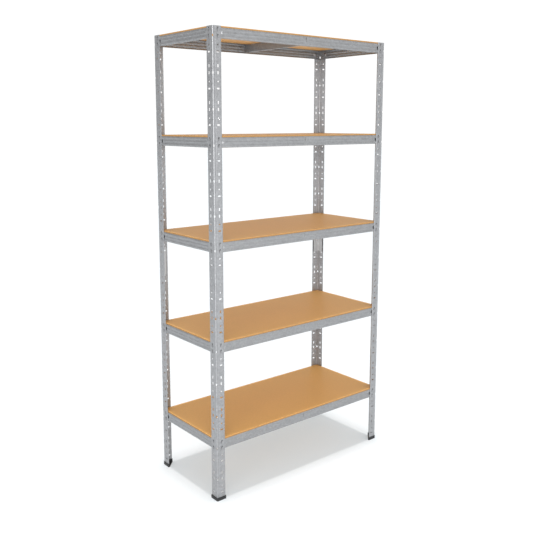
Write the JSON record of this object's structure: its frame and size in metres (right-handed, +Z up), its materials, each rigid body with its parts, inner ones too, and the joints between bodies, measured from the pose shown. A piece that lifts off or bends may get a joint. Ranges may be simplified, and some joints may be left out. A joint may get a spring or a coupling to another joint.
{
  "type": "boltless steel shelving",
  "caption": "Free-standing boltless shelving: slotted angle posts on plastic feet, hooked ribbed beams with centre ties, and loose hardboard shelves.",
  "frame": {"origin": "on the floor, at the middle of the unit's footprint", "axes": "+Z up, +X along the length of the shelves to the right, front towards -Y"},
  "size_m": [0.9042, 0.4042, 1.8],
  "materials": {
    "galvanised_steel": "satin",
    "bright_zinc": "satin",
    "foot_plastic": "matte",
    "hardboard": "matte"
  },
  "bodies": {
    "frame": {"post_front_left_lower": "galvanised_steel", "post_front_left_upper": "galvanised_steel", "splice_front_left": "bright_zinc", "foot_front_left": "foot_plastic", "post_front_right_lower": "galvanised_steel", "post_front_right_upper": "galvanised_steel", "splice_front_right": "bright_zinc", "foot_front_right": "foot_plastic", "post_rear_left_lower": "galvanised_steel", "post_rear_left_upper": "galvanised_steel", "splice_rear_left": "bright_zinc", "foot_rear_left": "foot_plastic", "post_rear_right_lower": "galvanised_steel", "post_rear_right_upper": "galvanised_steel", "splice_rear_right": "bright_zinc", "foot_rear_right": "foot_plastic", "beam_front_1": "galvanised_steel", "beam_left_1": "galvanised_steel", "beam_rear_1": "galvanised_steel", "beam_right_1": "galvanised_steel", "centre_tie_1": "galvanised_steel", "beam_front_2": "galvanised_steel", "beam_left_2": "galvanised_steel", "beam_rear_2": "galvanised_steel", "beam_right_2": "galvanised_steel", "centre_tie_2": "galvanised_steel", "beam_front_3": "galvanised_steel", "beam_left_3": "galvanised_steel", "beam_rear_3": "galvanised_steel", "beam_right_3": "galvanised_steel", "centre_tie_3": "galvanised_steel", "beam_front_4": "galvanised_steel", "beam_left_4": "galvanised_steel", "beam_rear_4": "galvanised_steel", "beam_right_4": "galvanised_steel", "centre_tie_4": "galvanised_steel", "beam_front_5": "galvanised_steel", "beam_left_5": "galvanised_steel", "beam_rear_5": "galvanised_steel", "beam_right_5": "galvanised_steel", "centre_tie_5": "galvanised_steel"},
    "board_1": {"board_1": "hardboard"},
    "board_2": {"board_2": "hardboard"},
    "board_3": {"board_3": "hardboard"},
    "board_4": {"board_4": "hardboard"},
    "board_5": {"board_5": "hardboard"}
  },
  "joints": [
    {"name": "board_1_lift", "type": "slide", "parent": "frame", "child": "board_1", "axis": [0, 0, 1], "range_m": [0, 0.1]},
    {"name": "board_2_lift", "type": "slide", "parent": "frame", "child": "board_2", "axis": [0, 0, 1], "range_m": [0, 0.1]},
    {"name": "board_3_lift", "type": "slide", "parent": "frame", "child": "board_3", "axis": [0, 0, 1], "range_m": [0, 0.1]},
    {"name": "board_4_lift", "type": "slide", "parent": "frame", "child": "board_4", "axis": [0, 0, 1], "range_m": [0, 0.1]},
    {"name": "board_5_lift", "type": "slide", "parent": "frame", "child": "board_5", "axis": [0, 0, 1], "range_m": [0, 0.1]}
  ]
}
